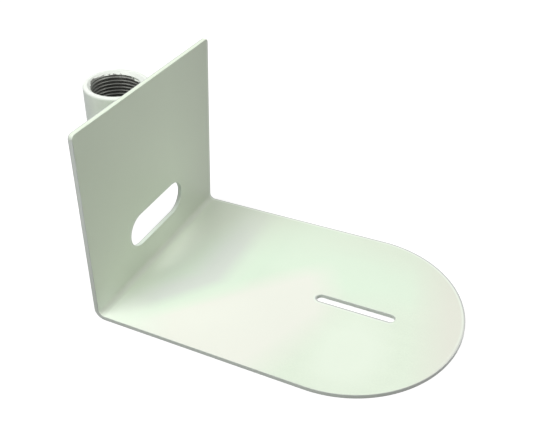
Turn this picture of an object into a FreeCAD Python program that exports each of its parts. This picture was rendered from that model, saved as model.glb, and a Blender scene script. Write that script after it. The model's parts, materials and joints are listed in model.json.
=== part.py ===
import FreeCAD, Part
import math
import os

import Sketcher

# Ceiling bracket for a camera: a folded sheet with an upright leg and a level tray,
# and a threaded pipe socket welded to the back of the leg.
# X runs along the tray towards its round end, Y across the width, Z up from the
# underside of the tray; the origin is the centre of the whole part's footprint.

os.makedirs("parts", exist_ok=True)
doc = FreeCAD.newDocument("ceiling_bracket")

# Driving dimensions in millimetres, the lean in degrees
SIZES = [
    ("SheetThick", 3.0),
    ("PlateWidth", 145.0),
    ("TrayLength", 217.5),
    ("LegHeight", 135.5),
    ("LegLean", 4.0),
    ("BendInside", 4.0),
    ("LegCorner", 3.0),
    ("CableSlotLength", 62.0),
    ("CableSlotHigh", 24.0),
    ("CableSlotCentre", 36.0),
    ("ScrewSlotLength", 52.5),
    ("ScrewSlotWidth", 6.6),
    ("ScrewSlotCentre", 149.5),
    ("SocketOutside", 41.0),
    ("ThreadCrest", 30.3),
    ("SocketLength", 45.0),
    ("SocketBelowLeg", 7.2),
    ("SocketRound", 1.5),
    ("MouthChamfer", 1.5),
    ("WeldLength", 36.0),
    ("WeldStart", 5.0),
    ("WeldTop", 10.5),
    ("WeldToe", 12.0),
]

# Sizes that follow from the driving ones
DERIVED = [
    ("SocketBottom", "=LegHeight - SocketBelowLeg - SocketLength"),
    ("SocketRadius", "=SocketOutside / 2"),
    ("SocketBackX", "=(SocketBottom + SocketRound) * sin(LegLean * 1 deg)"
                    " - (SocketOutside - SocketRound) * cos(LegLean * 1 deg) - SocketRound"),
    ("CentreShift", "=-(TrayLength + SocketBackX) / 2"),
    ("SocketAxisX", "=CentreShift + SocketBottom * sin(LegLean * 1 deg)"
                    " - SocketRadius * cos(LegLean * 1 deg)"),
    ("SocketAxisZ", "=SocketBottom * cos(LegLean * 1 deg) + SocketRadius * sin(LegLean * 1 deg)"),
]

sheet = doc.addObject("Spreadsheet::Sheet", "Sizes")
for row, (alias, value) in enumerate(SIZES + DERIVED, start=1):
    sheet.set("A%d" % row, alias)
    sheet.set("B%d" % row, str(value))
    sheet.setAlias("B%d" % row, alias)
doc.recompute()
size = {alias: float(sheet.get(alias)) for alias, _ in SIZES + DERIVED}

Vector = FreeCAD.Vector


def origin_plane(body, role):
    """The named plane of the body's own origin."""
    for feature in body.Origin.OriginFeatures:
        if feature.Role == role:
            return feature


def new_body(name):
    body = doc.addObject("PartDesign::Body", name)
    body.Label = name
    return body


def new_sketch(body, name, role):
    sketch = body.newObject("Sketcher::SketchObject", name)
    sketch.AttachmentSupport = [(origin_plane(body, role), "")]
    sketch.MapMode = "FlatFace"
    return sketch


def drive(sketch, name, expression, *constraint):
    """Add a named constraint and bind it to the table of sizes."""
    index = sketch.addConstraint(Sketcher.Constraint(*constraint))
    sketch.renameConstraint(index, name)
    sketch.setExpression("Constraints." + name, expression)


def segment(sketch, start, end):
    return sketch.addGeometry(Part.LineSegment(Vector(*start, 0), Vector(*end, 0)), False)


def arc(sketch, centre, radius, start, end):
    """Arc counter-clockwise between two angles in degrees."""
    circle = Part.Circle(Vector(*centre, 0), Vector(0, 0, 1), radius)
    return sketch.addGeometry(Part.ArcOfCircle(circle, math.radians(start), math.radians(end)), False)


def obround(sketch, along, length, width, on_x):
    """Slot outline round a centre that lies on the given sketch axis."""
    half = (size[length] - size[width]) / 2
    r = size[width] / 2
    u, v = (size[along], 0.0) if on_x else (0.0, size[along])
    right = arc(sketch, (u + half, v), r, -90, 90)
    left = arc(sketch, (u - half, v), r, 90, 270)
    top = segment(sketch, (u + half, v + r), (u - half, v + r))
    bottom = segment(sketch, (u - half, v - r), (u + half, v - r))
    sketch.addConstraint(Sketcher.Constraint("Tangent", right, 2, top, 1))
    sketch.addConstraint(Sketcher.Constraint("Tangent", top, 2, left, 1))
    sketch.addConstraint(Sketcher.Constraint("Tangent", left, 2, bottom, 1))
    sketch.addConstraint(Sketcher.Constraint("Tangent", bottom, 2, right, 1))
    sketch.addConstraint(Sketcher.Constraint("Horizontal", top))
    drive(sketch, "EndRadius", "Sizes.%s / 2" % width, "Radius", right, r)
    if on_x:
        sketch.addConstraint(Sketcher.Constraint("PointOnObject", right, 3, -1))
        drive(sketch, "NearCentre", "Sizes.%s - (Sizes.%s - Sizes.%s) / 2" % (along, length, width),
              "DistanceX", -1, 1, left, 3, u - half)
    else:
        sketch.addConstraint(Sketcher.Constraint("Symmetric", right, 3, left, 3, -2))
        drive(sketch, "Height", "Sizes.%s" % along, "DistanceY", -1, 1, right, 3, v)
    drive(sketch, "Between", "Sizes.%s - Sizes.%s" % (length, width),
          "DistanceX", left, 3, right, 3, 2 * half)


# The folded sheet: its section in the middle plane, padded to the full width
lean = math.radians(size["LegLean"])
thick = size["SheetThick"]
inside = size["BendInside"]
outside = inside + thick
setback = outside * math.tan(math.radians(90 + size["LegLean"]) / 2)
bend_centre = (setback, outside)


def on_leg(run, depth):
    """A point of the section on the leg: how far up its back face and how deep into the sheet."""
    return (run * math.sin(lean) + depth * math.cos(lean), run * math.cos(lean) - depth * math.sin(lean))


plate = new_body("bracket_plate")
section = new_sketch(plate, "FoldedSection", "XZ_Plane")
length = size["TrayLength"]
height = size["LegHeight"]
under = segment(section, (setback, 0), (length, 0))
tip = segment(section, (length, 0), (length, thick))
tray_top = segment(section, (length, thick), (setback, thick))
inner = arc(section, bend_centre, inside, 180 - size["LegLean"], 270)
leg_front = segment(section, on_leg(setback, thick), on_leg(height, thick))
leg_top = segment(section, on_leg(height, thick), on_leg(height, 0))
leg_back = segment(section, on_leg(height, 0), on_leg(setback, 0))
outer = arc(section, bend_centre, outside, 180 - size["LegLean"], 270)
section.addConstraint([
    Sketcher.Constraint("PointOnObject", under, 1, -1),
    Sketcher.Constraint("Horizontal", under),
    Sketcher.Constraint("Coincident", under, 2, tip, 1),
    Sketcher.Constraint("Vertical", tip),
    Sketcher.Constraint("Coincident", tip, 2, tray_top, 1),
    Sketcher.Constraint("Horizontal", tray_top),
    Sketcher.Constraint("Tangent", tray_top, 2, inner, 2),
    Sketcher.Constraint("Tangent", inner, 1, leg_front, 1),
    Sketcher.Constraint("Coincident", leg_front, 2, leg_top, 1),
    Sketcher.Constraint("Perpendicular", leg_front, leg_top),
    Sketcher.Constraint("Coincident", leg_top, 2, leg_back, 1),
    Sketcher.Constraint("Tangent", leg_back, 2, outer, 1),
    Sketcher.Constraint("Tangent", outer, 2, under, 1),
    Sketcher.Constraint("Coincident", outer, 3, inner, 3),
    Sketcher.Constraint("PointOnObject", -1, 1, leg_back),
])
drive(section, "Thickness", "Sizes.SheetThick", "DistanceY", tip, 1, tip, 2, thick)
drive(section, "TrayEnd", "Sizes.TrayLength", "DistanceX", -1, 1, under, 2, length)
drive(section, "InsideRadius", "Sizes.BendInside", "Radius", inner, inside)
drive(section, "LegRun", "Sizes.LegHeight", "Distance", -1, 1, leg_back, 1, height)
drive(section, "FoldAngle", "90 deg - Sizes.LegLean * 1 deg", "Angle", leg_front, math.radians(90) - lean)
fold = plate.newObject("PartDesign::Pad", "FoldedSheet")
fold.Profile = section
fold.Midplane = True
fold.setExpression("Length", "Sizes.PlateWidth")
doc.recompute()


def check_less(feature, before):
    """A cut has to take material away."""
    if not feature.Shape.Volume < before - 1.0:
        raise RuntimeError(feature.Name + " cuts nothing")


def pocket(body, sketch, name, depth, symmetric):
    before = body.Shape.Volume
    cut = body.newObject("PartDesign::Pocket", name)
    cut.Profile = sketch
    cut.Midplane = symmetric
    cut.setExpression("Length", depth)
    sketch.Visibility = False
    doc.recompute()
    check_less(cut, before)
    return cut


# Round end of the tray: a half circle as wide as the plate
edge = size["PlateWidth"] / 2
ROUND_MARGIN = 5.0
round_end = new_sketch(plate, "RoundEnd", "XY_Plane")
straight = size["TrayLength"] - edge
beyond = size["TrayLength"] + ROUND_MARGIN
wide = edge + ROUND_MARGIN
half_circle = arc(round_end, (straight, 0), edge, -90, 90)
near_step = segment(round_end, (straight, -edge), (straight, -wide))
near_side = segment(round_end, (straight, -wide), (beyond, -wide))
end_side = segment(round_end, (beyond, -wide), (beyond, wide))
far_side = segment(round_end, (beyond, wide), (straight, wide))
far_step = segment(round_end, (straight, wide), (straight, edge))
round_end.addConstraint([
    Sketcher.Constraint("Coincident", half_circle, 1, near_step, 1),
    Sketcher.Constraint("Coincident", near_step, 2, near_side, 1),
    Sketcher.Constraint("Coincident", near_side, 2, end_side, 1),
    Sketcher.Constraint("Coincident", end_side, 2, far_side, 1),
    Sketcher.Constraint("Coincident", far_side, 2, far_step, 1),
    Sketcher.Constraint("Coincident", far_step, 2, half_circle, 2),
])
for line in (near_step, end_side, far_step):
    round_end.addConstraint(Sketcher.Constraint("Vertical", line))
for line in (near_side, far_side):
    round_end.addConstraint(Sketcher.Constraint("Horizontal", line))
round_end.addConstraint(Sketcher.Constraint("PointOnObject", half_circle, 3, -1))
round_end.addConstraint(Sketcher.Constraint("Vertical", half_circle, 3, half_circle, 1))
round_end.addConstraint(Sketcher.Constraint("Equal", near_step, far_step))
drive(round_end, "EndRadius", "Sizes.PlateWidth / 2", "Radius", half_circle, edge)
drive(round_end, "ArcCentre", "Sizes.TrayLength - Sizes.PlateWidth / 2",
      "DistanceX", -1, 1, half_circle, 3, straight)
drive(round_end, "Beyond", "Sizes.TrayLength + %s" % ROUND_MARGIN, "DistanceX", -1, 1, end_side, 1, beyond)
round_end.addConstraint(Sketcher.Constraint("DistanceY", near_step, 2, near_step, 1, ROUND_MARGIN))
pocket(plate, round_end, "RoundedTray", "Sizes.SheetThick * 4", True)

# Slot along the middle of the tray for the camera's screw
screw_slot = new_sketch(plate, "ScrewSlot", "XY_Plane")
obround(screw_slot, "ScrewSlotCentre", "ScrewSlotLength", "ScrewSlotWidth", True)
pocket(plate, screw_slot, "ScrewSlotCut", "Sizes.SheetThick * 4", True)

# Wide slot across the leg for the cable, drawn on the plane of the leg's back face
cable_slot = new_sketch(plate, "CableSlot", "YZ_Plane")
leaning = FreeCAD.Rotation(Vector(1, 0, 0), size["LegLean"])
cable_slot.AttachmentOffset = FreeCAD.Placement(Vector(0, 0, 0), leaning)
cable_slot.setExpression("AttachmentOffset.Rotation.Angle", "Sizes.LegLean * 1 deg")
obround(cable_slot, "CableSlotCentre", "CableSlotLength", "CableSlotHigh", False)
pocket(plate, cable_slot, "CableSlotCut", "Sizes.SheetThick * 4", True)

# Small radius on the two upper corners of the leg
top_corners = []
for index, edge_shape in enumerate(plate.Shape.Edges, start=1):
    a, b = (vertex.Point for vertex in (edge_shape.Vertexes[0], edge_shape.Vertexes[-1]))
    middle = (a + b) * 0.5
    across = abs(edge_shape.Length - thick) < 1e-6 and len(edge_shape.Vertexes) == 2
    if across and middle.z > 0.9 * height * math.cos(lean) and abs(abs(middle.y) - edge) < 1e-6:
        top_corners.append("Edge%d" % index)
if len(top_corners) != 2:
    raise RuntimeError("the leg's upper corners were not found")
square_leg = plate.Tip
corners = plate.newObject("PartDesign::Fillet", "LegCorners")
corners.Base = (square_leg, top_corners)
corners.setExpression("Radius", "Sizes.LegCorner")
doc.recompute()
check_less(corners, square_leg.Shape.Volume)

# Threaded socket: a thick ring turned about its own axis, its bore at the crests of the thread
socket = new_body("threaded_socket")
ring = new_sketch(socket, "SocketSection", "XZ_Plane")
ring_outside = size["SocketRadius"]
ring_inside = size["ThreadCrest"] / 2
ring_length = size["SocketLength"]
rim_round = size["SocketRound"]
chamfer = size["MouthChamfer"]
mouth = ring_inside + chamfer
flat = ring_outside - rim_round
high = ring_length - rim_round
bore_top = ring_length - chamfer
low_chamfer = segment(ring, (ring_inside, chamfer), (mouth, 0))
low_face = segment(ring, (mouth, 0), (flat, 0))
low_round = arc(ring, (flat, rim_round), rim_round, 270, 360)
wall = segment(ring, (ring_outside, rim_round), (ring_outside, high))
high_round = arc(ring, (flat, high), rim_round, 0, 90)
high_face = segment(ring, (flat, ring_length), (mouth, ring_length))
high_chamfer = segment(ring, (mouth, ring_length), (ring_inside, bore_top))
bore = segment(ring, (ring_inside, bore_top), (ring_inside, chamfer))
ring.addConstraint([
    Sketcher.Constraint("Coincident", bore, 2, low_chamfer, 1),
    Sketcher.Constraint("Coincident", low_chamfer, 2, low_face, 1),
    Sketcher.Constraint("Tangent", low_face, 2, low_round, 1),
    Sketcher.Constraint("Tangent", low_round, 2, wall, 1),
    Sketcher.Constraint("Tangent", wall, 2, high_round, 1),
    Sketcher.Constraint("Tangent", high_round, 2, high_face, 1),
    Sketcher.Constraint("Coincident", high_face, 2, high_chamfer, 1),
    Sketcher.Constraint("Coincident", high_chamfer, 2, bore, 1),
    Sketcher.Constraint("PointOnObject", low_face, 1, -1),
    Sketcher.Constraint("Horizontal", low_face),
    Sketcher.Constraint("Vertical", wall),
    Sketcher.Constraint("Horizontal", high_face),
    Sketcher.Constraint("Vertical", bore),
    Sketcher.Constraint("Equal", low_round, high_round),
    Sketcher.Constraint("Equal", low_chamfer, high_chamfer),
])
drive(ring, "Outside", "Sizes.SocketRadius", "DistanceX", -1, 1, wall, 1, ring_outside)
drive(ring, "Bore", "Sizes.ThreadCrest / 2", "DistanceX", -1, 1, bore, 1, ring_inside)
drive(ring, "Tall", "Sizes.SocketLength", "DistanceY", low_face, 1, high_face, 2, ring_length)
drive(ring, "RimRound", "Sizes.SocketRound", "Radius", high_round, rim_round)
drive(ring, "ChamferOut", "Sizes.MouthChamfer", "DistanceX", bore, 2, low_face, 1, chamfer)
drive(ring, "ChamferIn", "Sizes.MouthChamfer", "DistanceY", low_face, 1, bore, 2, chamfer)
turned = socket.newObject("PartDesign::Revolution", "TurnedSocket")
turned.Profile = ring
turned.ReferenceAxis = (ring, ["V_Axis"])
turned.Angle = 360.0
doc.recompute()


def seat_on_leg(body, lift):
    """Place a body so that its own Z axis is the socket's axis, raised along it."""
    body.Placement = FreeCAD.Placement(Vector(size["SocketAxisX"], 0, size["SocketAxisZ"]),
                                       FreeCAD.Rotation(Vector(0, 1, 0), size["LegLean"]))
    body.setExpression("Placement.Base.x", "Sizes.SocketAxisX + (%s) * sin(Sizes.LegLean * 1 deg)" % lift)
    body.setExpression("Placement.Base.z", "Sizes.SocketAxisZ + (%s) * cos(Sizes.LegLean * 1 deg)" % lift)
    body.setExpression("Placement.Rotation.Angle", "Sizes.LegLean * 1 deg")


seat_on_leg(socket, "0")
plate.setExpression("Placement.Base.x", "Sizes.CentreShift")


def weld_bead(name, side):
    """Fillet weld in the groove between the socket and the leg, on one side of the line they touch on."""
    body = new_body(name)
    bead = new_sketch(body, name + "_section", "XY_Plane")
    start, high, toe = size["WeldStart"], size["WeldTop"], size["WeldToe"]
    angle_start = math.degrees(math.asin(start / ring_outside))
    angle_high = math.degrees(math.asin(high / ring_outside))
    on_ring_start = (math.sqrt(ring_outside ** 2 - start ** 2), side * start)
    on_ring_high = (math.sqrt(ring_outside ** 2 - high ** 2), side * high)
    low, top = sorted((side * angle_start, side * angle_high))
    curve = arc(bead, (0, 0), ring_outside, low, top)
    start_end, high_end = (1, 2) if side > 0 else (2, 1)
    root = segment(bead, on_ring_start, (ring_outside, side * start))
    leg_side = segment(bead, (ring_outside, side * start), (ring_outside, side * toe))
    face = segment(bead, (ring_outside, side * toe), on_ring_high)
    bead.addConstraint([
        Sketcher.Constraint("Coincident", curve, start_end, root, 1),
        Sketcher.Constraint("Coincident", root, 2, leg_side, 1),
        Sketcher.Constraint("Coincident", leg_side, 2, face, 1),
        Sketcher.Constraint("Coincident", face, 2, curve, high_end),
        Sketcher.Constraint("Coincident", curve, 3, -1, 1),
        Sketcher.Constraint("Horizontal", root),
        Sketcher.Constraint("Vertical", leg_side),
    ])
    drive(bead, "RingRadius", "Sizes.SocketRadius", "Radius", curve, ring_outside)
    drive(bead, "LegFace", "Sizes.SocketRadius", "DistanceX", -1, 1, leg_side, 1, ring_outside)
    ends = {"Start": (leg_side, 1, "Sizes.WeldStart", start), "Toe": (leg_side, 2, "Sizes.WeldToe", toe),
            "High": (face, 2, "Sizes.WeldTop", high)}
    for label, (line, point, expression, value) in ends.items():
        if side > 0:
            drive(bead, label, expression, "DistanceY", -1, 1, line, point, value)
        else:
            drive(bead, label, expression, "DistanceY", line, point, -1, 1, value)
    run = body.newObject("PartDesign::Pad", name + "_run")
    run.Profile = bead
    run.setExpression("Length", "Sizes.WeldLength")
    doc.recompute()
    seat_on_leg(body, "(Sizes.SocketLength - Sizes.WeldLength) / 2")
    return body


bead_left = weld_bead("weld_bead_left", 1)
bead_right = weld_bead("weld_bead_right", -1)
doc.recompute()

# Nothing is written unless every feature and every finished shape is sound
for item in doc.Objects:
    if "Invalid" in item.State or "Error" in item.State:
        raise RuntimeError("%s is %s" % (item.Name, item.State))
pieces = [plate, socket, bead_left, bead_right]
for piece in pieces:
    if piece.Shape.isNull() or not piece.Shape.isValid() or len(piece.Shape.Solids) != 1:
        raise RuntimeError(piece.Label + " has no sound single solid")
for piece in pieces:
    piece.Shape.exportStep("parts/%s.step" % piece.Label)
    print(piece.Label, round(piece.Shape.Volume, 2), piece.Shape.BoundBox)
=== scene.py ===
# %% [markdown]
# The object is a ceiling bracket for a camera: a steel sheet folded once into an upright leg and a
# level tray, with a threaded pipe socket welded behind the leg, all powder coated in one pale colour.
# Its solids come first and stay where they are. They are a fixed frame that gives every size, and
# each step below makes one piece or one finish on them.

# %% Load the frame
import json
import math

import bmesh
import bpy
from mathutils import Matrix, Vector


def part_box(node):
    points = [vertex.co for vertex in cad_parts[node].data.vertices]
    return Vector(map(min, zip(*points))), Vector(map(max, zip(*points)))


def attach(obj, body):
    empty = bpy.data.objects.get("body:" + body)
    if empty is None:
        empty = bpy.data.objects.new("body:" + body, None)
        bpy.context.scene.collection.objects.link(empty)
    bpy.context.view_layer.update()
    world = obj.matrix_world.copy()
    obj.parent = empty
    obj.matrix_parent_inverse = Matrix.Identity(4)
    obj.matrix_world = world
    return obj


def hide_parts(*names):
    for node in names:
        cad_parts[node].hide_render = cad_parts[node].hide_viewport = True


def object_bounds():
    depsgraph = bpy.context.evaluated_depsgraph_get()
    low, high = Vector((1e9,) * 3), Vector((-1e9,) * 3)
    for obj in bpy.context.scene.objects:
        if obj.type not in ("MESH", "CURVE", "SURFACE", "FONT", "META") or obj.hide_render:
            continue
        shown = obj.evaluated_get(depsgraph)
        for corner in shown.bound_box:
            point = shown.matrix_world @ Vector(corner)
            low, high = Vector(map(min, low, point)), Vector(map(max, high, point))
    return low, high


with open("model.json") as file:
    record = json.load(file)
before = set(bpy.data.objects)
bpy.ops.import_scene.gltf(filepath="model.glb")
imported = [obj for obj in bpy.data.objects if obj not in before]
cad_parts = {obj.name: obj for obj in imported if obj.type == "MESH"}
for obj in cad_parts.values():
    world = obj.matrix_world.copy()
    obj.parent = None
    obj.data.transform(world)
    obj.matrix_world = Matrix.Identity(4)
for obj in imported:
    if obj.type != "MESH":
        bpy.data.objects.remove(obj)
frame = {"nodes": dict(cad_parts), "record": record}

cad_low, cad_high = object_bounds()
print("frame holds", sorted(frame["nodes"]), "in a box from", tuple(cad_low), "to", tuple(cad_high))

# %% [markdown]
# A sheet-metal part is known by a few numbers: its thickness, the radius of its fold and the angle it
# is folded by. The rest follows from them and from the box of the loaded solid, so the new mesh can't
# drift away from the frame. The leg leans 4 degrees towards the tray, as a fold a little past
# square does. The setback is how far the bend line lies from the fold's outer corner.

# %% Sizes of the sheet, in metres
MM = 0.001
SHEET = 3.0 * MM
BEND_INSIDE = 4.0 * MM
LEAN = math.radians(4.0)
FOLD_TURN = math.radians(90) + LEAN
BEND_OUTSIDE = BEND_INSIDE + SHEET
SETBACK = BEND_OUTSIDE * math.tan(FOLD_TURN / 2)
BEND_LENGTH = (BEND_INSIDE + SHEET / 2) * FOLD_TURN

plate_low, plate_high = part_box("bracket_plate")
HALF_WIDTH = (plate_high.y - plate_low.y) / 2
FOLD_X = plate_low.x + BEND_OUTSIDE
TRAY_RUN = plate_high.x - FOLD_X
LEG_HEIGHT = plate_high.z / math.cos(LEAN)
LEG_RUN = LEG_HEIGHT - SETBACK

LEG_UP = Vector((math.sin(LEAN), 0, math.cos(LEAN)))
print("tray", round(TRAY_RUN / MM, 2), "mm past the fold, leg", round(LEG_HEIGHT / MM, 2), "mm high")

# %% [markdown]
# The real plate starts as a flat blank, cut with its round end, its two slots and its rounded upper
# corners, and is folded afterwards. The mesh is made the same way. It has three outlines, and each one
# is repeated along the section of a cut edge: up its height, round its two arrises and a little way
# onto the flats. Rings of quads suit such an edge better than a boolean and a bevel, because they keep
# it evenly round everywhere, and a value can be stored on each ring. The socket and the welds are
# built from rings too, so one helper joins them for all three.

# %% Helpers for rings and arcs


def arc(centre, radius, start, turn, steps):
    """Points on an arc, angles in degrees."""
    angles = [math.radians(start + turn * k / steps) for k in range(steps + 1)]
    return [(centre[0] + radius * math.cos(a), centre[1] + radius * math.sin(a)) for a in angles]


def join_rings(bm, rings):
    """Smooth quads between each closed ring of points and the next one."""
    for ring, following in zip(rings, rings[1:]):
        for i in range(len(ring)):
            k = (i + 1) % len(ring)
            face = bm.faces.new((ring[i], ring[k], following[k], following[i]))
            face.smooth = True


def as_object(name, bm):
    """The finished mesh as an object in the scene."""
    mesh = bpy.data.meshes.new(name)
    bm.to_mesh(mesh)
    bm.free()
    piece = bpy.data.objects.new(name, mesh)
    bpy.context.scene.collection.objects.link(piece)
    return piece


print("a quarter turn in 4 steps takes", len(arc((0, 0), 1, 0, 90, 4)), "points")

# %% Outlines of the flat blank
LEG_CORNER = 3.0 * MM
CABLE_SLOT_LENGTH = 62.0 * MM
CABLE_SLOT_HIGH = 24.0 * MM
CABLE_SLOT_UP = 36.0 * MM
SCREW_SLOT_LENGTH = 52.5 * MM
SCREW_SLOT_WIDTH = 6.6 * MM
SCREW_SLOT_ALONG = 149.5 * MM
CABLE_SLOT_STEPS = 40
SCREW_SLOT_STEPS = 28
ROUND_END_STEPS = 120
CORNER_STEPS = 10


def cable_slot(inset):
    """The slot across the leg, its outline drawn this far inside the metal."""
    u = -(BEND_LENGTH + CABLE_SLOT_UP - SETBACK)
    half = (CABLE_SLOT_LENGTH - CABLE_SLOT_HIGH) / 2
    radius = CABLE_SLOT_HIGH / 2 + inset
    return (arc((u, half), radius, 0, 180, CABLE_SLOT_STEPS)
            + arc((u, -half), radius, 180, 180, CABLE_SLOT_STEPS))


def screw_slot(inset):
    """The slot along the tray, its outline drawn this far inside the metal."""
    u = SCREW_SLOT_ALONG - SETBACK
    half = (SCREW_SLOT_LENGTH - SCREW_SLOT_WIDTH) / 2
    radius = SCREW_SLOT_WIDTH / 2 + inset
    return (arc((u + half, 0), radius, -90, 180, SCREW_SLOT_STEPS)
            + arc((u - half, 0), radius, 90, 180, SCREW_SLOT_STEPS))


def outside(inset):
    """The blank's own outline: a half circle at the tray's end and two small corners on the leg's end."""
    corner_u = LEG_CORNER - BEND_LENGTH - LEG_RUN
    corner_v = HALF_WIDTH - LEG_CORNER
    return (arc((TRAY_RUN - HALF_WIDTH, 0), HALF_WIDTH - inset, -90, 180, ROUND_END_STEPS)
            + arc((corner_u, corner_v), LEG_CORNER - inset, 90, 90, CORNER_STEPS)
            + arc((corner_u, -corner_v), LEG_CORNER - inset, 180, 90, CORNER_STEPS))


print("points round the blank:", len(outside(0)), "and round its slots:",
      len(cable_slot(0)), len(screw_slot(0)))

# %% [markdown]
# The section of a cut edge is a list of rings from the upper flat to the lower one. A ring has its
# inset, its height above the middle of the sheet, and its share of two thin films of coat, one on the
# upper arris and one on the lower. A film is full for 0.8 mm over the flat and ends at 1.2 mm, and
# down the edge it ends at 0.8 mm. The thicker coat beside an edge is full for 1.7 mm and ends at
# 2.6 mm, which has to stay less than the radius of the leg's corners.

# %% Section of a cut edge
EDGE_ROUND = 0.35 * MM
EDGE_STEPS = 4
FILM_BAND = 0.8 * MM
FILM_END = 1.2 * MM
RIM_FULL = 1.7 * MM
RIM_BAND = 2.6 * MM
half_sheet = SHEET / 2
upper_arris = arc((EDGE_ROUND, half_sheet - EDGE_ROUND), EDGE_ROUND, 90, 90, EDGE_STEPS)
lower_arris = arc((EDGE_ROUND, EDGE_ROUND - half_sheet), EDGE_ROUND, 180, 90, EDGE_STEPS)
flat_rings = [(RIM_BAND, 0), (RIM_FULL, 0), (FILM_END, 0), (FILM_BAND, 1)]
edge_section = ([(inset, half_sheet, film, 0) for inset, film in flat_rings]
                + [(inset, height, 1, 0) for inset, height in upper_arris]
                + [(0, half_sheet - FILM_BAND, 0, 0), (0, FILM_BAND - half_sheet, 0, 0)]
                + [(inset, height, 0, 1) for inset, height in lower_arris]
                + [(inset, -half_sheet, 0, film) for inset, film in reversed(flat_rings)])
print("each edge has", len(edge_section), "rings")

# %% [markdown]
# Four values are stored on the points while the sheet is still flat: where a point lies on the blank,
# for textures that follow the sheet round the fold; whether it is on a cut edge; how near to one it
# lies, since powder gathers there; and how thin the film is on the arrises. The arrises took least
# powder on the underside, and on the upper side where the edge looks away from the gun, to the far
# side and the round end. On the leg that shows a third as much.

# %% Rings along the edges, and the flats between them
AWAY_FROM_GUN = Vector((0.6, 1.0))
LEG_FILM = 0.35
sheet_bm = bmesh.new()
on_blank = sheet_bm.verts.layers.float_vector.new("on_blank")
cut_edge = sheet_bm.verts.layers.float.new("cut_edge")
near_edge = sheet_bm.verts.layers.float.new("near_edge")
thin_film = sheet_bm.verts.layers.float.new("thin_film")


def facing_away(outline):
    """For each point of an outline, how far its edge looks away from the gun, from 0 to 1."""
    shares = []
    for at_edge, further_in in zip(outline(0), outline(MM)):
        outwards = (Vector(at_edge) - Vector(further_in)).normalized()
        shares.append(min(1.0, max(0.0, outwards.dot(AWAY_FROM_GUN))))
    return shares


def edge_rings(outline, film_below):
    """The rings of one outline, joined by quads; gives back its topmost and its lowest ring."""
    rings = []
    away = facing_away(outline)
    for inset, height, upper, lower in edge_section:
        ring = [sheet_bm.verts.new((u, v, height)) for u, v in outline(inset)]
        for vertex, faces_away in zip(ring, away):
            on_part = 1.0 if vertex.co.x > 0 else LEG_FILM
            vertex[cut_edge] = 1.0 if inset < EDGE_ROUND else 0.0
            vertex[near_edge] = faces_away * min(1.0, (RIM_BAND - inset) / (RIM_BAND - RIM_FULL))
            vertex[thin_film] = max(upper * on_part * faces_away, lower * film_below)
        rings.append(ring)
    join_rings(sheet_bm, rings)
    return rings[0], rings[-1]


top_rings, low_rings = zip(edge_rings(outside, 1), edge_rings(cable_slot, 1), edge_rings(screw_slot, 0))
for rings in (top_rings, low_rings):
    borders = [sheet_bm.edges.get((ring[k - 1], ring[k])) for ring in rings for k in range(len(ring))]
    bmesh.ops.triangle_fill(sheet_bm, edges=borders, use_beauty=True)
print("flat blank:", len(sheet_bm.verts), "points,", len(sheet_bm.faces), "faces")

# %% [markdown]
# A flat fill has no points where the fold goes, so straight cuts are put through the blank: close
# ones across the bend, wide ones elsewhere to keep the faces a moderate size.

# %% Cut the blank across the bend and into a grid
BEND_ROWS = 24
GRID = 12.0 * MM
SAME_POINT = 0.001 * MM


def cut_at(bm, position, direction):
    """Cut every face that a plane crosses, and take points closer than a micron as lying on it."""
    everything = bm.verts[:] + bm.edges[:] + bm.faces[:]
    bmesh.ops.bisect_plane(bm, geom=everything, dist=SAME_POINT, plane_co=position, plane_no=direction)


bend_rows = [-BEND_LENGTH * k / BEND_ROWS for k in range(BEND_ROWS + 1)]
tray_rows = [GRID * k for k in range(1, int(TRAY_RUN / GRID) + 1)]
leg_rows = [-BEND_LENGTH - GRID * k for k in range(1, int(LEG_RUN / GRID) + 1)]
for u in bend_rows + tray_rows + leg_rows:
    cut_at(sheet_bm, (u, 0, 0), (1, 0, 0))
for k in range(-int(HALF_WIDTH / GRID), int(HALF_WIDTH / GRID) + 1):
    cut_at(sheet_bm, (0, k * GRID, 0), (0, 1, 0))
for vertex in sheet_bm.verts:
    vertex[on_blank] = vertex.co
print("cut blank:", len(sheet_bm.verts), "points,", len(sheet_bm.faces), "faces")

# %% [markdown]
# The fold is a formula on every point. Past the bend line a point first turns round the fold's
# centre and then runs straight up the leg. A Simple Deform modifier could bend it too, but it
# wouldn't keep the exact radius and place of the frame's own fold.

# %% Fold the blank


def folded(u, v, w):
    """Where a point of the blank goes, w being its height above the sheet's underside."""
    if u >= 0:
        return Vector((FOLD_X + u, v, w))
    turn = min(-u / (BEND_INSIDE + SHEET / 2), FOLD_TURN)
    radius = BEND_OUTSIDE - w
    past = max(0.0, -u - BEND_LENGTH)
    on_arc = Vector((FOLD_X - radius * math.sin(turn), v, BEND_OUTSIDE - radius * math.cos(turn)))
    return on_arc + past * LEG_UP


for vertex in sheet_bm.verts:
    u, v, z = vertex.co
    vertex.co = folded(u, v, z + SHEET / 2)
bmesh.ops.recalc_face_normals(sheet_bm, faces=sheet_bm.faces)
for face in sheet_bm.faces:
    face.smooth = True

folded_sheet = as_object("folded_sheet", sheet_bm)
folded_high = max(point.co.z for point in folded_sheet.data.vertices)
print("folded blank stands", round(folded_high / MM, 2), "mm high")

# %% [markdown]
# Smooth shading averages the normals of all faces that meet at a point, which would draw a false
# gradient along each rounded edge. The Weighted Normal modifier lets the large flat faces decide, so
# the flats stay flat and only the rounding shades round.

# %% Keep the flats flat
weighted = folded_sheet.modifiers.new("flat_faces_decide", "WEIGHTED_NORMAL")
weighted.mode = "FACE_AREA"
weighted.weight = 80
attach(folded_sheet, "root")
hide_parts("bracket_plate")
print("folded sheet:", len(folded_sheet.data.polygons), "faces")

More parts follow.
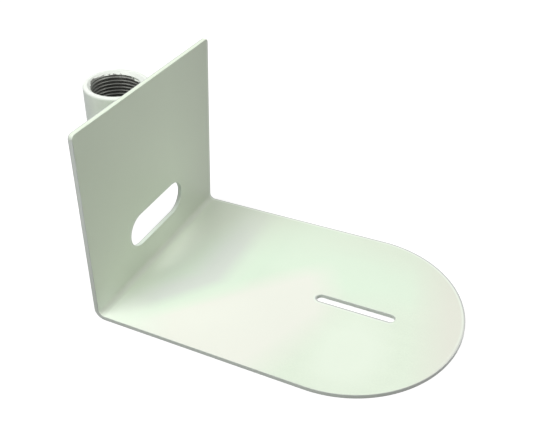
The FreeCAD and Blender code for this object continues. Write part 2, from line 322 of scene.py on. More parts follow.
# %% [markdown]
# The socket is a turned steel ring with a pipe thread cut inside: 11 turns to the inch, so the ridges
# stand 2.309 mm apart. A boolean with a screw shape is slow and leaves ragged faces at the mouth.
# Here the whole socket is one closed skin instead, a ring of rows and columns: its outer rows are
# plain circles, and on its inner rows the radius follows the thread's V as the rows climb, each
# column a little later than the one before. The mouth has a chamfer 2.5 mm wide, in which the thread
# begins, and its ridges grow to their full depth over a short run-out.

# %% Sizes of the socket, in metres
SOCKET_OUTSIDE = 41.0 * MM
SOCKET_LENGTH = 45.0 * MM
SOCKET_ROUND = 1.5 * MM
MOUTH_CHAMFER = 2.5 * MM
THREAD_CREST = 30.3 * MM
THREAD_PITCH = 25.4 * MM / 11
THREAD_DEPTH = 1.45 * MM
RUN_OUT_START = 1.5 * MM
RUN_OUT = 1.8 * MM

bore = next(mount for mount in frame["record"]["mounts"] if mount["name"] == "pipe_thread")
socket_axis = Vector(bore["axis"]).normalized()
socket_base = Vector(bore["pos_m"]) - socket_axis * (SOCKET_LENGTH / 2)
across_axis = Vector((0, 1, 0))
towards_leg = across_axis.cross(socket_axis)
print("socket stands on", tuple(round(x / MM, 2) for x in socket_base), "mm")

# %% [markdown]
# The section's outer rows stay a hair inside the solid, so that the skin never outgrows it. Crests and
# roots of the thread are flat over a seventh of its pitch.

# %% Rows of the socket's section
HAIR = 0.01 * MM
RING_OUT = SOCKET_OUTSIDE / 2 - HAIR
RING_IN = THREAD_CREST / 2
THREAD_FLAT = 0.14
ROWS_PER_TURN = 14
ROUND_STEPS = 6
WALL_STEPS = 12
FLAT_RIM = 0.4 * MM


def at_socket(radius, angle, height):
    """A point round the socket's axis; angle 0 faces the leg."""
    out = towards_leg * math.cos(angle) + across_axis * math.sin(angle)
    return socket_base + out * radius + socket_axis * height


def to_mouth(height):
    """How far a height on the socket is from the nearer of its two mouths."""
    return min(height, SOCKET_LENGTH - height)


def thread_radius(height, angle):
    """Radius of the bore: flat crests and roots joined by straight flanks."""
    phase = (height / THREAD_PITCH - angle / (2 * math.pi)) % 1.0
    ridge = abs(2 * phase - 1)
    valley = min(1.0, max(0.0, (ridge - THREAD_FLAT) / (1 - 2 * THREAD_FLAT)))
    run_out = min(1.0, max(0.0, (to_mouth(height) - RUN_OUT_START) / RUN_OUT))
    threaded = RING_IN + THREAD_DEPTH * valley * run_out
    chamfered = RING_IN + max(0.0, MOUTH_CHAMFER - to_mouth(height))
    return max(threaded, chamfered)


low_centre = (RING_OUT - SOCKET_ROUND, SOCKET_ROUND)
high_centre = (RING_OUT - SOCKET_ROUND, SOCKET_LENGTH - SOCKET_ROUND)
wall_height = SOCKET_LENGTH - 2 * SOCKET_ROUND
wall_rows = [(RING_OUT, SOCKET_ROUND + wall_height * k / WALL_STEPS) for k in range(1, WALL_STEPS)]
outer_rows = (arc(low_centre, SOCKET_ROUND, -90, 90, ROUND_STEPS) + wall_rows
              + arc(high_centre, SOCKET_ROUND, 0, 90, ROUND_STEPS)
              + [(RING_IN + MOUTH_CHAMFER + FLAT_RIM, SOCKET_LENGTH)])
inner_count = int(SOCKET_LENGTH / THREAD_PITCH * ROWS_PER_TURN)
inner_heights = [SOCKET_LENGTH * (1 - k / inner_count) for k in range(inner_count + 1)]
print("socket:", len(outer_rows), "outer rows and", len(inner_heights), "inner rows")

# %% [markdown]
# The powder was sprayed into the mouth from the near side, so it reaches deeper on the far wall than
# on the near one. How far a point lies past that reach is stored on it, in millimetres, and so is
# the stretch of the mouth where the first pipe has chipped the coat.

# %% Where the coat ends in the mouth
SPRAY_REACH = 2.7 * MM
SPRAY_LEAN = 0.42
SPRAY_SIDE = math.radians(80)
CHIPPED_SIDE = math.radians(145)
CHIPPED_SPREAD = math.radians(64)
CHIPPED_DEPTH = 1.6 * MM
FLAKES_FROM = 0.5 * MM
WELL_COATED = -10.0


def coat_in_mouth(angle, height):
    """How far past the spray's reach a point of the bore lies, in mm, and how chipped it is, 0 to 1."""
    chips = max(0.0, 1 - (abs(angle - CHIPPED_SIDE) / CHIPPED_SPREAD) ** 2)
    sprayed = SPRAY_REACH * (1 + SPRAY_LEAN * math.cos(angle - SPRAY_SIDE))
    kept = sprayed - CHIPPED_DEPTH * min(1.0, 2 * chips)
    below_rim = min(1.0, max(0.0, (to_mouth(height) - FLAKES_FROM) / MM))
    return (to_mouth(height) - kept) / MM, chips * below_rim


print("coat reaches at most", round(SPRAY_REACH * (1 + SPRAY_LEAN) / MM, 1), "mm into the mouth")

# %% Skin the socket
AROUND = 176
socket_bm = bmesh.new()
past_spray = socket_bm.verts.layers.float.new("past_spray")
chipped = socket_bm.verts.layers.float.new("chipped")
around = [2 * math.pi * i / AROUND for i in range(AROUND)]
rings = []
for radius, height in outer_rows:
    ring = [socket_bm.verts.new(at_socket(radius, angle, height)) for angle in around]
    for vertex in ring:
        vertex[past_spray] = WELL_COATED
    rings.append(ring)
for height in inner_heights:
    ring = []
    for angle in around:
        vertex = socket_bm.verts.new(at_socket(thread_radius(height, angle), angle, height))
        vertex[past_spray], vertex[chipped] = coat_in_mouth(angle, height)
        ring.append(vertex)
    rings.append(ring)
join_rings(socket_bm, rings + rings[:1])
bmesh.ops.recalc_face_normals(socket_bm, faces=socket_bm.faces)
pipe_socket = as_object("pipe_socket", socket_bm)
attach(pipe_socket, "root")
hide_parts("threaded_socket")
print("socket:", len(pipe_socket.data.polygons), "faces")

# %% [markdown]
# The two weld beads fill the grooves where the ring touches the leg. A weld is laid drop by drop, so
# its face is a row of small overlapping crescents. Each bead is a section of a few points swept
# along the groove, and the face's bulge rises and falls once a drop. A crescent's middle runs ahead
# of its ends by a third of a drop, and the bead thins out over its first and last millimetres.

# %% Section of a weld bead
WELD_LENGTH = 36.0 * MM
WELD_ROOT = 5.0 * MM
WELD_TOE = 12.0 * MM
WELD_HIGH = 10.5 * MM
WELD_BULGE = 0.55 * MM
WELD_RIPPLE = 0.16 * MM
WELD_DROP = 2.4 * MM
ROWS_PER_DROP = 8
CRESCENT_AHEAD = 0.35
END_RUN = 2.7 * MM
END_FULLNESS = 0.55
RING_SIDE_STEPS = 6
FACE_STEPS = 10


def weld_section(side, drop_phase, fullness):
    """Section of the bead as (towards the leg, across): along the ring, the leg, then the bulging face."""
    ring_side = []
    for k in range(RING_SIDE_STEPS, -1, -1):
        angle = math.asin((WELD_ROOT + (WELD_HIGH - WELD_ROOT) * k / RING_SIDE_STEPS) / RING_OUT)
        ring_side.append((RING_OUT * math.cos(angle), side * RING_OUT * math.sin(angle)))
    high = Vector(ring_side[0])
    toe = Vector((RING_OUT, side * (WELD_ROOT + (WELD_TOE - WELD_ROOT) * fullness)))
    down_face = (toe - high).normalized()
    outwards = Vector((-abs(down_face.y), side * abs(down_face.x)))
    face = []
    for k in range(1, FACE_STEPS):
        share = k / FACE_STEPS
        arch = math.sin(math.pi * share)
        crescent = math.cos(2 * math.pi * (drop_phase - CRESCENT_AHEAD * arch))
        swell = arch * (WELD_BULGE + WELD_RIPPLE * crescent) * fullness
        face.append(tuple(toe.lerp(high, share) + outwards * swell))
    return ring_side + [(RING_OUT, side * WELD_ROOT), tuple(toe)] + face


print("a bead's section has", len(weld_section(1, 0.0, 1.0)), "points")

# %% Both weld beads


def weld_bead(name, node, side):
    """One bead, swept up the groove and closed at both ends."""
    rows = int(WELD_LENGTH / WELD_DROP * ROWS_PER_DROP)
    start = (SOCKET_LENGTH - WELD_LENGTH) / 2
    bm = bmesh.new()
    sections = []
    for row in range(rows + 1):
        share = row / rows
        from_end = WELD_LENGTH * min(share, 1 - share)
        fullness = min(1.0, END_FULLNESS + (1 - END_FULLNESS) * from_end / END_RUN)
        centre = socket_base + socket_axis * (start + WELD_LENGTH * share)
        section = weld_section(side, row / ROWS_PER_DROP, fullness)
        sections.append([bm.verts.new(centre + towards_leg * a + across_axis * b) for a, b in section])
    join_rings(bm, sections)
    bm.faces.new(sections[0])
    bm.faces.new(sections[-1])
    bmesh.ops.recalc_face_normals(bm, faces=bm.faces)
    bead = as_object(name, bm)
    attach(bead, "root")
    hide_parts(node)
    print(name, len(bead.data.polygons), "faces")
    return bead


weld_left = weld_bead("rippled_weld_left", "weld_bead_left", 1)
weld_right = weld_bead("rippled_weld_right", "weld_bead_right", -1)

# %% [markdown]
# Materials are node trees. Four helpers keep them short: one turns a colour as a painter writes it
# into the linear numbers that the shader works in, one adds a node with its settings and links, one
# lays several colours over each other, each by its own share, and one starts an empty material.

# %% Helpers for materials


def linear(hex_colour):
    """An sRGB hex colour as linear red, green, blue and alpha."""
    parts = [int(hex_colour[k:k + 2], 16) / 255 for k in (1, 3, 5)]
    return tuple(c / 12.92 if c <= 0.04045 else ((c + 0.055) / 1.055) ** 2.4 for c in parts) + (1.0,)


def add(tree, kind, inputs=None, **settings):
    """Add a node; an input given as another node's socket is linked, any other value is set."""
    node = tree.nodes.new(kind)
    for name, value in settings.items():
        setattr(node, name, value)
    for name, value in (inputs or {}).items():
        if isinstance(value, bpy.types.NodeSocket):
            tree.links.new(value, node.inputs[name])
        else:
            node.inputs[name].default_value = value
    return node


def layered(tree, ground, layers):
    """Lay colours over a ground in turn; each layer is its share, from 0 to 1, and its colour."""
    for share, colour in layers:
        ground = add(tree, "ShaderNodeMix", {0: share, 6: ground, 7: colour}, data_type="RGBA").outputs[2]
    return ground


def new_material(name):
    """An empty material and its node tree."""
    material = bpy.data.materials.new(name)
    material.use_nodes = True
    material.node_tree.nodes.clear()
    return material, material.node_tree


print("middle grey, half of full light as a painter writes it, is", round(linear("#808080")[0], 3))

# %% [markdown]
# Powder-coated steel: polyester powder is sprayed dry on the folded part and melts in an oven into a
# film about 0.08 mm thick. It levels badly, so the eye sees a fine orange peel and soft satin
# highlights. It is a plastic, so its IOR is 1.5 and it isn't metallic. Orange peel has waves 1 to
# 2 mm wide. Grains of powder are finer than 0.1 mm and wouldn't show, so the specks are drawn 0.9 mm
# wide.

# %% The coat's own grain
PEEL = 1.6 * MM
SPECK = 0.9 * MM
PEEL_HEIGHT = 0.03 * MM
COAT_IOR = 1.5
COAT_RELIEF = 0.12
SPECK_FROM, SPECK_FULL, SPECK_SHARE = 0.35, 0.7, 0.5
PEEL_LOW, PEEL_HIGH = 0.3, 0.7
ROUGH_LOW, ROUGH_HIGH = 0.38, 0.5
PLAIN = linear("#E6F2DF")
DULL = linear("#DEEAD8")


def powder_coat(tree, position, relief):
    """Colour, roughness and surface of the coat at a position in metres."""
    speck = add(tree, "ShaderNodeTexNoise", {"Vector": position, "Scale": 1 / SPECK, "Detail": 2.0})
    peel = add(tree, "ShaderNodeTexNoise", {"Vector": position, "Scale": 1 / PEEL, "Detail": 3.0})
    specked = add(tree, "ShaderNodeMapRange", {"Value": speck.outputs["Fac"], "From Min": SPECK_FROM,
                                               "From Max": SPECK_FULL, "To Max": SPECK_SHARE})
    colour = layered(tree, PLAIN, [(specked.outputs["Result"], DULL)])
    roughness = add(tree, "ShaderNodeMapRange", {"Value": peel.outputs["Fac"],
                                                 "From Min": PEEL_LOW, "From Max": PEEL_HIGH,
                                                 "To Min": ROUGH_LOW, "To Max": ROUGH_HIGH})
    height = add(tree, "ShaderNodeMath", {0: peel.outputs["Fac"], 1: speck.outputs["Fac"]},
                 operation="ADD")
    surface = add(tree, "ShaderNodeBump", {"Height": height.outputs[0], "Strength": relief,
                                           "Distance": PEEL_HEIGHT})
    return colour, roughness.outputs["Result"], surface.outputs["Normal"]


print("plain coat in linear numbers:", tuple(round(c, 3) for c in PLAIN))

# %% [markdown]
# Broad soft stretches of tone are laid over the coat, most of them painted light and painted shade, and
# each of them has a share from 0 to 1 that is worked out from the place on the blank. Two shapes are
# enough. An oval is full in its middle and fades to a rim that broad noise makes uneven. A zone is a
# product of soft steps, and each step runs in its own direction over the blank, so a few steps can bound a
# band or a wedge.

# %% Shapes of the tones
ALONG = (1, 0)
ACROSS = (0, 1)
BACK_ACROSS = (0, -1)
OVAL_WANDER = 0.5
OVAL_FULL = 0.65
OVAL_RIM = 1.25


def soft_oval(tree, place, drift, centre_mm, radii_mm, most):
    """Share of a tone in an oval on the blank; drift, a noise, makes its rim wander."""
    middle = (centre_mm[0] * MM, centre_mm[1] * MM, 0)
    shrink = (1 / (radii_mm[0] * MM), 1 / (radii_mm[1] * MM), 0)
    offset = add(tree, "ShaderNodeVectorMath", {0: place, 1: middle}, operation="SUBTRACT")
    scaled = add(tree, "ShaderNodeVectorMath", {0: offset.outputs[0], 1: shrink}, operation="MULTIPLY")
    reach = add(tree, "ShaderNodeVectorMath", {0: scaled.outputs[0]}, operation="LENGTH")
    uneven = add(tree, "ShaderNodeMath", {0: drift, 1: OVAL_WANDER, 2: reach.outputs["Value"]},
                 operation="MULTIPLY_ADD")
    faded = add(tree, "ShaderNodeMapRange", {"Value": uneven.outputs[0], "From Min": OVAL_FULL,
                                             "From Max": OVAL_RIM, "To Min": most, "To Max": 0.0})
    return faded.outputs["Result"]


def zone(tree, place, steps):
    """Share of a tone on the blank, the product of some soft steps.

    A step is its direction on the blank and the two places, in millimetres in that direction,
    between which it rises from 0 to 1, or from one share to another where two shares follow.
    """
    share = 1.0
    for direction, from_mm, to_mm, *shares in steps:
        low, high = shares or (0.0, 1.0)
        run = add(tree, "ShaderNodeVectorMath", {0: place, 1: (*direction, 0)}, operation="DOT_PRODUCT")
        step = add(tree, "ShaderNodeMapRange", {"Value": run.outputs["Value"], "From Min": from_mm * MM,
                                                "From Max": to_mm * MM, "To Min": low, "To Max": high})
        share = add(tree, "ShaderNodeMath", {0: share, 1: step.outputs["Result"]},
                    operation="MULTIPLY").outputs[0]
    return share


print("an oval is full to", OVAL_FULL, "of its radius and ends at", OVAL_RIM, "before its rim wanders")

# %% [markdown]
# The stretches that the eye finds on the flats, most of them painted light and painted shade: painted light
# in warm ivory and a lighter oval on the tray's near half, where it is lit fullest, and painted half light
# in mint on its far half and towards the leg; a darker straw tone at the round end; painted shade in a
# duller inner corner beside the fold, in a greyed band inside the leg's shadow and a thin mint one along
# its edge, which bow out towards the near edge, in an olive tint on the leg's shaded face, on a dimmer far
# side and in a dark line in the fold; painted light in a lighter patch where light falls through the cable
# slot and on a lighter near corner. Under them lie faint lines along the sheet, left by its rolling and
# drawn 7 mm wide. For the two bands the place is first pushed along the blank, the more the nearer it lies
# to the near edge: so they bow.

# %% Colours of the flats
# Painted light and shade: ivory and the lifted tone are painted full light, mint is painted half light, the
# corner, greyed, band, olive, far side and fold tones are painted shade, and the slot's patch and the near
# corner are painted light.
PAINTED_HALF_LIGHT_MINT = linear("#E2F5E0")
PAINTED_FULL_LIGHT_IVORY = linear("#F0F2E7")
PAINTED_FULL_LIGHT_LIFT = linear("#ECF7E6")
STRAW = linear("#E5E7DA")
PAINTED_INNER_CORNER_SHADE = linear("#DFE7D8")
PAINTED_SHADOW_GREY = linear("#E3EAE1")
PAINTED_SHADOW_EDGE_MINT = linear("#EAFBE6")
PAINTED_SHADE_OLIVE = linear("#E4EFDB")
PAINTED_SLOT_LIGHT = linear("#EDF7E5")
PAINTED_NEAR_CORNER_LIGHT = linear("#EFF8EB")
PAINTED_FAR_SIDE_SHADE = linear("#D7E0CE")
PAINTED_FOLD_SHADE = linear("#D3DACB")
print("the fold's line is", round(PAINTED_FOLD_SHADE[1] / PLAIN[1], 2), "times as light as the plain coat")

# %% Grain of the coat, broad noise and rolling lines
DRIFT = 45.0 * MM
ROLL_LINE = 7.0 * MM
ROLL_SQUEEZE = (0.06, 1.0, 1.0)
ROLL_FROM, ROLL_FULL, ROLL_SHARE = 0.4, 0.75, 0.25
powder_coated_steel, tree = new_material("powder_coated_steel")
where = add(tree, "ShaderNodeTexCoord").outputs["Object"]
place = add(tree, "ShaderNodeAttribute", attribute_name="on_blank").outputs["Vector"]
coat_colour, coat_roughness, coat_surface = powder_coat(tree, where, COAT_RELIEF)
drift = add(tree, "ShaderNodeTexNoise", {"Vector": place, "Scale": 1 / DRIFT, "Detail": 3.0}).outputs["Fac"]

squeezed = add(tree, "ShaderNodeMapping", {"Vector": place, "Scale": ROLL_SQUEEZE})
lines = add(tree, "ShaderNodeTexNoise", {"Vector": squeezed.outputs[0], "Scale": 1 / ROLL_LINE,
                                         "Detail": 3.0})
rolled = add(tree, "ShaderNodeMapRange", {"Value": lines.outputs["Fac"], "From Min": ROLL_FROM,
                                          "From Max": ROLL_FULL, "To Max": ROLL_SHARE}).outputs["Result"]
print("broad noise of", round(DRIFT / MM), "mm and rolling lines of", round(ROLL_LINE / MM), "mm")

# %% Place the tones on the flats, in millimetres from the bend line and from the middle
TRAY_END = TRAY_RUN / MM
SIDE = HALF_WIDTH / MM
BEND_END = -BEND_LENGTH / MM
BOW_START = -12.0
BOW = 0.8 * (SIDE + BOW_START) * MM
near_share = zone(tree, place, [(ACROSS, BOW_START, -SIDE)])
bowed = add(tree, "ShaderNodeVectorMath", {0: near_share, 1: (BOW, 0, 0), 2: place},
            operation="MULTIPLY_ADD").outputs[0]

# Painted light: mint where the tray is half lit, ivory and the lifted oval where it is lit fullest.
painted_half_light_oval = soft_oval(tree, place, drift, centre_mm=(132, 30), radii_mm=(62, 34), most=0.7)
painted_half_light_shore = zone(tree, place, [((1, -0.35), 100, 64, 0.0, 0.8)])
painted_full_light_half = zone(tree, place, [((1, -1.0), 68, 90), ((1, -0.4), 150, 124), ((1, 0.6), 140, 112)])
painted_full_light_oval = soft_oval(tree, place, drift, centre_mm=(150, -34), radii_mm=(30, 44), most=0.8)
round_end = zone(tree, place, [((1, 0.25), TRAY_END - 33, TRAY_END - 8)])
# Painted shade: the inner corner beside the fold is drawn duller.
painted_inner_corner_shade = zone(tree, place, [((1, -0.35), 46, 2)])
# Painted shade: a greyed band inside the leg's shadow, and a mint band along the shadow's edge.
painted_shadow_band = zone(tree, bowed, [(ALONG, 24, 38), (ALONG, 64, 48)])
painted_shadow_edge_band = zone(tree, bowed, [(ALONG, 46, 58, 0.0, 0.6), (ALONG, 72, 58)])
# Painted shade: the leg's shaded face is tinted olive.
leg = zone(tree, place, [((1, 0.35), 8, -42)])
# Painted light: the patch where light falls through the cable slot.
painted_slot_light = soft_oval(tree, place, drift, centre_mm=(-10, 14), radii_mm=(22, 34), most=0.5)
# Painted light: the near corner is drawn lighter.
painted_near_corner_light = soft_oval(tree, place, drift, centre_mm=(10, -68), radii_mm=(36, 24), most=0.55)
# Painted shade: the far side is drawn dimmer.
painted_far_side_shade = zone(tree, place, [(ACROSS, 20, SIDE), (ALONG, 110, 60, 0.35, 0.8)])
# Painted shade: a dark line along the fold.
painted_fold_shade = zone(tree, place, [(ALONG, BEND_END, BEND_END / 2, 0.0, 0.9), (ALONG, 0.5, -4)])

# %% Lay the tones over the flats
# Most of these layers are painted light and painted shade.
flat_layers = [(rolled, DULL), (painted_half_light_oval, PAINTED_HALF_LIGHT_MINT), (painted_half_light_shore, PAINTED_HALF_LIGHT_MINT), (painted_full_light_half, PAINTED_FULL_LIGHT_IVORY),
               (painted_full_light_oval, PAINTED_FULL_LIGHT_LIFT), (round_end, STRAW), (painted_inner_corner_shade, PAINTED_INNER_CORNER_SHADE),
               (painted_shadow_band, PAINTED_SHADOW_GREY), (painted_shadow_edge_band, PAINTED_SHADOW_EDGE_MINT), (leg, PAINTED_SHADE_OLIVE), (painted_slot_light, PAINTED_SLOT_LIGHT),
               (painted_near_corner_light, PAINTED_NEAR_CORNER_LIGHT), (painted_far_side_shade, PAINTED_FAR_SIDE_SHADE), (painted_fold_shade, PAINTED_FOLD_SHADE)]
flat_colour = layered(tree, coat_colour, flat_layers)
print("flats:", len(flat_layers), "tones over the plain coat")

# %% [markdown]
# Cut edges get tones apart from the flats', and most of them are painted light and shade: the tray's edges
# are greyer as painted shade and the leg's lighter as painted light; the round end's are greyer and the
# leg's top greenish. In the cable slot the lower wall is painted lit and the upper one painted dimmer, and
# the screw slot's wall is lighter than the tray's. The faces beside an edge take more powder and are
# lighter. On the arrises the film is so thin that the grey steel shows.

# %% Tones of the edges
BESIDE_SHARE = 0.7
BESIDE_EDGE = linear("#F0F8EC")
# Painted shade on the tray's cut edges, painted light up the leg's.
PAINTED_SHADE_TRAY_EDGE = linear("#CDD4CB")
PAINTED_LIGHT_LEG_EDGE = linear("#E5ECE5")
# Painted light on the cable slot's lower wall and painted shade on its upper one.
SLOT_LIT = linear("#E5F0E2")
SLOT_DIM = linear("#CEDACA")
SCREW_SLOT_EDGE = linear("#DFE7DD")
TOP_EDGE = linear("#E8F3E0")
END_EDGE = linear("#CACDC8")
THIN_FILM = linear("#BFC2BF")
LEG_TOP = -(BEND_LENGTH + LEG_RUN) / MM
slot_middle = (SETBACK - BEND_LENGTH - CABLE_SLOT_UP) / MM
in_cable_slot = [(ACROSS, 50, 40), (BACK_ACROSS, 50, 40), (ALONG, -12, -20)]
upper_half = [(ALONG, slot_middle + 1, slot_middle - 4)]
in_screw_slot = [(ACROSS, 20, 10), (BACK_ACROSS, 20, 10), (ALONG, 50, 60)]

# These layers paint light up the leg's edges and in the cable slot over the tray's painted shade.
edge_layers = [(zone(tree, place, [(ALONG, -20, -90)]), PAINTED_LIGHT_LEG_EDGE),
               (zone(tree, place, in_cable_slot), SLOT_LIT),
               (zone(tree, place, in_cable_slot + upper_half), SLOT_DIM),
               (zone(tree, place, in_screw_slot), SCREW_SLOT_EDGE),
               (zone(tree, place, [(ALONG, LEG_TOP + 4, LEG_TOP)]), TOP_EDGE),
               (zone(tree, place, [(ALONG, TRAY_END - 35, TRAY_END - 8)]), END_EDGE)]
edge_colour = layered(tree, PAINTED_SHADE_TRAY_EDGE, edge_layers)
print("edges:", len(edge_layers), "tones over the tray's own")

# %% Finish the coat of the sheet and the welds
on_edge = add(tree, "ShaderNodeAttribute", attribute_name="cut_edge").outputs["Fac"]
near = add(tree, "ShaderNodeAttribute", attribute_name="near_edge").outputs["Fac"]
film = add(tree, "ShaderNodeAttribute", attribute_name="thin_film").outputs["Fac"]
beside = add(tree, "ShaderNodeMath", {0: near, 1: BESIDE_SHARE}, operation="MULTIPLY").outputs[0]
colour = layered(tree, flat_colour, [(beside, BESIDE_EDGE), (on_edge, edge_colour), (film, THIN_FILM)])
coat = add(tree, "ShaderNodeBsdfPrincipled", {"Base Color": colour, "Roughness": coat_roughness,
                                              "IOR": COAT_IOR, "Normal": coat_surface})
add(tree, "ShaderNodeOutputMaterial", {"Surface": coat.outputs[0]})
for piece in (folded_sheet, weld_left, weld_right):
    piece.data.materials.append(powder_coated_steel)
print("powder-coated steel:", len(tree.nodes), "nodes")

# %% [markdown]
# The socket got the same coat outside and over its rim, but the thread further in stayed bare. Turned steel
# is a metal: dark grey, half gloss, dulled by oil that lies in broad smears, so it isn't fully metallic.
# Its IOR of 1.5 is also the node's default. The coat ends in a ragged line, because the stored depth, in
# millimetres, is roughened by noise before it decides between coat and steel, and chips are cut out of it
# on the stretch that the first pipe has scraped. The side of the ring that looks away from the leg has
# painted shade: its coat is drawn darker there. The reflection is set weaker than a new coat's, because the
# rim shows no bright highlight.

# %% Colours and grain of the socket
FRAY = 2.0 * MM
FRAY_DEPTH = 2.6
COAT_END, STEEL_START = 1.25, 1.5
CHIP = 1.5 * MM
CHIP_EDGE, CHIP_FULL = 0.4, 0.46
OIL = 9.0 * MM
OIL_FROM, OIL_FULL = 0.35, 0.65
STEEL_RELIEF = 0.03
STEEL_ROUGHNESS = 0.5
STEEL_METALLIC = 0.8
RING_SPECULAR = 0.3
RIM_SHARE = 0.8
RIM_UP, SIDE_UP = 0.6, 0.2
AWAY_SIDE = socket_base.x / MM - 12
LEG_SIDE = socket_base.x / MM + 1
RING_RIM = linear("#F2F5F0")
RING_SIDE = linear("#F1FAED")
# Painted shade on the ring's side away from the leg.
PAINTED_RING_SHADE = linear("#CED6D0")
DARK_STEEL = linear("#6A6B67")
OILED_STEEL = linear("#7B7D78")
print("bare steel is", round(DARK_STEEL[1] / RING_RIM[1], 2), "times as light as the coat on the rim")

# %% Where the steel is bare
powder_coated_socket, tree = new_material("powder_coated_socket_bare_thread")
where = add(tree, "ShaderNodeTexCoord").outputs["Object"]
past = add(tree, "ShaderNodeAttribute", attribute_name="past_spray").outputs["Fac"]
scraped = add(tree, "ShaderNodeAttribute", attribute_name="chipped").outputs["Fac"]
fray = add(tree, "ShaderNodeTexNoise", {"Vector": where, "Scale": 1 / FRAY, "Detail": 4.0})
frayed = add(tree, "ShaderNodeMath", {0: fray.outputs["Fac"], 1: FRAY_DEPTH, 2: past},
             operation="MULTIPLY_ADD")
unsprayed = add(tree, "ShaderNodeMapRange", {"Value": frayed.outputs[0], "From Min": COAT_END,
                                             "From Max": STEEL_START})
chips = add(tree, "ShaderNodeTexNoise", {"Vector": where, "Scale": 1 / CHIP, "Detail": 2.0})
flakes = add(tree, "ShaderNodeMath", {0: chips.outputs["Fac"], 1: scraped}, operation="MULTIPLY")
flaked = add(tree, "ShaderNodeMapRange", {"Value": flakes.outputs[0], "From Min": CHIP_EDGE,
                                          "From Max": CHIP_FULL})
bare = add(tree, "ShaderNodeMath", {0: unsprayed.outputs["Result"], 1: flaked.outputs["Result"]},
           operation="MAXIMUM").outputs[0]
print("the coat's line wanders over", FRAY_DEPTH, "mm at most")

# %% Powder-coated socket with a bare cut thread
relief = add(tree, "ShaderNodeMix", {0: bare, 2: COAT_RELIEF, 3: STEEL_RELIEF}).outputs[0]
coat_colour, coat_roughness, coat_surface = powder_coat(tree, where, relief)
normal = add(tree, "ShaderNodeNewGeometry").outputs["Normal"]
faces_up = add(tree, "ShaderNodeSeparateXYZ", {0: normal}).outputs["Z"]
on_side = add(tree, "ShaderNodeMapRange", {"Value": faces_up, "From Min": RIM_UP, "From Max": SIDE_UP})
# Painted shade: the ring's side is drawn darker away from the leg.
ring_side_shade = layered(tree, PAINTED_RING_SHADE, [(zone(tree, where, [(ALONG, AWAY_SIDE, LEG_SIDE)]), RING_SIDE)])
oil = add(tree, "ShaderNodeTexNoise", {"Vector": where, "Scale": 1 / OIL, "Detail": 2.0})
oiled = add(tree, "ShaderNodeMapRange", {"Value": oil.outputs["Fac"], "From Min": OIL_FROM,
                                         "From Max": OIL_FULL})
steel_colour = layered(tree, DARK_STEEL, [(oiled.outputs["Result"], OILED_STEEL)])
colour = layered(tree, coat_colour, [(RIM_SHARE, RING_RIM), (on_side.outputs["Result"], ring_side_shade),
                                     (bare, steel_colour)])
roughness = add(tree, "ShaderNodeMix", {0: bare, 2: coat_roughness, 3: STEEL_ROUGHNESS}).outputs[0]
metallic = add(tree, "ShaderNodeMath", {0: bare, 1: STEEL_METALLIC}, operation="MULTIPLY").outputs[0]
ring = add(tree, "ShaderNodeBsdfPrincipled", {"Base Color": colour, "Roughness": roughness,
                                              "Metallic": metallic, "IOR": COAT_IOR,
                                              "Specular IOR Level": RING_SPECULAR,
                                              "Normal": coat_surface})
add(tree, "ShaderNodeOutputMaterial", {"Surface": ring.outputs[0]})
pipe_socket.data.materials.append(powder_coated_socket)
print("socket's coat and steel:", len(tree.nodes), "nodes")

# %% [markdown]
# The bracket lies on a plain pale table, board under matt paint, which scatters light evenly and has
# no highlights. Its white comes from light that only the camera and reflections see, so the table
# doesn't throw more light on the object than a pale table would, and the soft shadow stays.

# %% Table
TABLE_HALF = 1.0
TABLE_GAP = 0.2 * MM
TABLE_GLOW = 0.84
WHITE = (1, 1, 1, 1)
TABLE_GREY = linear("#959594")


def only_seen(tree):
    """1 for rays that see but light nothing: the camera's own, reflected and passed-through ones."""
    path = add(tree, "ShaderNodeLightPath")
    seen = add(tree, "ShaderNodeMath", {0: path.outputs["Is Camera Ray"], 1: path.outputs["Is Glossy Ray"]},
               operation="ADD")
    return add(tree, "ShaderNodeMath", {0: seen.outputs[0], 1: path.outputs["Is Transmission Ray"]},
               operation="ADD", use_clamp=True).outputs[0]


table_bm = bmesh.new()
bmesh.ops.create_grid(table_bm, x_segments=2, y_segments=2, size=TABLE_HALF)
table = as_object("table", table_bm)
table.location = (0, 0, -TABLE_GAP)

pale_table, tree = new_material("pale_table")
glow = add(tree, "ShaderNodeMath", {0: only_seen(tree), 1: TABLE_GLOW}, operation="MULTIPLY")
matt = add(tree, "ShaderNodeBsdfDiffuse", {"Color": TABLE_GREY})
light = add(tree, "ShaderNodeEmission", {"Color": WHITE, "Strength": glow.outputs[0]})
both = add(tree, "ShaderNodeAddShader", {0: matt.outputs[0], 1: light.outputs[0]})
add(tree, "ShaderNodeOutputMaterial", {"Surface": both.outputs[0]})
table.data.materials.append(pale_table)
print("table:", round(2 * TABLE_HALF, 1), "m wide,", round(TABLE_GAP / MM, 1), "mm under the tray")

# %% [markdown]
# The light is a soft studio. The white surround is only seen and lights nothing, so all light comes
# from five square panels. The strongest stands high behind the leg on the near side: the leg turns
# its shaded face to the camera and throws a soft wedge of shadow across the tray. A second one over
# the tray and three weak ones, behind, at the near side and in front, fill the shade.

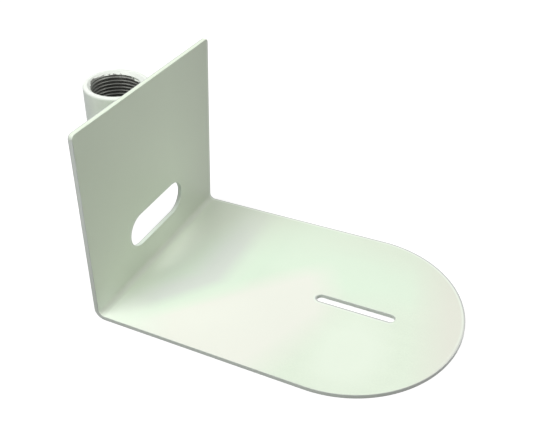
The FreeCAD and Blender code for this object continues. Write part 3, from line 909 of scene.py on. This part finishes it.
# %% Surround and lamps
PANEL_DISTANCE = 2.0
world = bpy.data.worlds.new("studio")
world.use_nodes = True
tree = world.node_tree
tree.nodes.clear()
background = add(tree, "ShaderNodeBackground", {"Color": WHITE, "Strength": only_seen(tree)})
add(tree, "ShaderNodeOutputWorld", {"Surface": background.outputs[0]})
bpy.context.scene.world = world


def soft_panel(name, azimuth, elevation, size, power):
    """A square lamp that looks at the middle of the bracket; angles in degrees, azimuth from +X."""
    a = math.radians(azimuth)
    e = math.radians(elevation)
    direction = Vector((math.cos(e) * math.cos(a), math.cos(e) * math.sin(a), math.sin(e)))
    data = bpy.data.lights.new(name, "AREA")
    data.shape = "SQUARE"
    data.size = size
    data.energy = power
    lamp = bpy.data.objects.new(name, data)
    lamp.location = (cad_low + cad_high) / 2 + direction * PANEL_DISTANCE
    lamp.rotation_euler = direction.to_track_quat("Z", "Y").to_euler()
    lamp.visible_camera = False
    bpy.context.scene.collection.objects.link(lamp)
    print(name, "gives", power, "W")


soft_panel("panel_behind_leg", azimuth=240, elevation=63, size=1.05, power=28.7)
soft_panel("panel_over_tray", azimuth=25, elevation=68, size=0.9, power=11.5)
soft_panel("panel_behind", azimuth=150, elevation=25, size=0.9, power=4.0)
soft_panel("panel_near_side", azimuth=282, elevation=15, size=0.9, power=5.0)
soft_panel("panel_front", azimuth=30, elevation=40, size=0.9, power=7.4)

# %% [markdown]
# The camera stands where the photograph was taken from. Its place, direction and focal length were
# worked out beforehand from the plate's straight edges, the slots and the socket's rim.

# %% Camera
CAMERA_PLACE = (0.16173, -0.3224, 0.31785)
CAMERA_TURN = (54.081, 1.6832, 25.7876)
camera_data = bpy.data.cameras.new("camera")
camera_data.sensor_width = 36.0
camera_data.lens = 48.3919
camera = bpy.data.objects.new("camera", camera_data)
camera.location = CAMERA_PLACE
camera.rotation_euler = tuple(math.radians(angle) for angle in CAMERA_TURN)
bpy.context.scene.collection.objects.link(camera)
bpy.context.scene.camera = camera
bpy.context.scene.view_settings.view_transform = "Standard"
print("camera stands", round(camera.location.length, 3), "m from the frame's origin")

# %% Update the scene
bpy.context.view_layer.update()
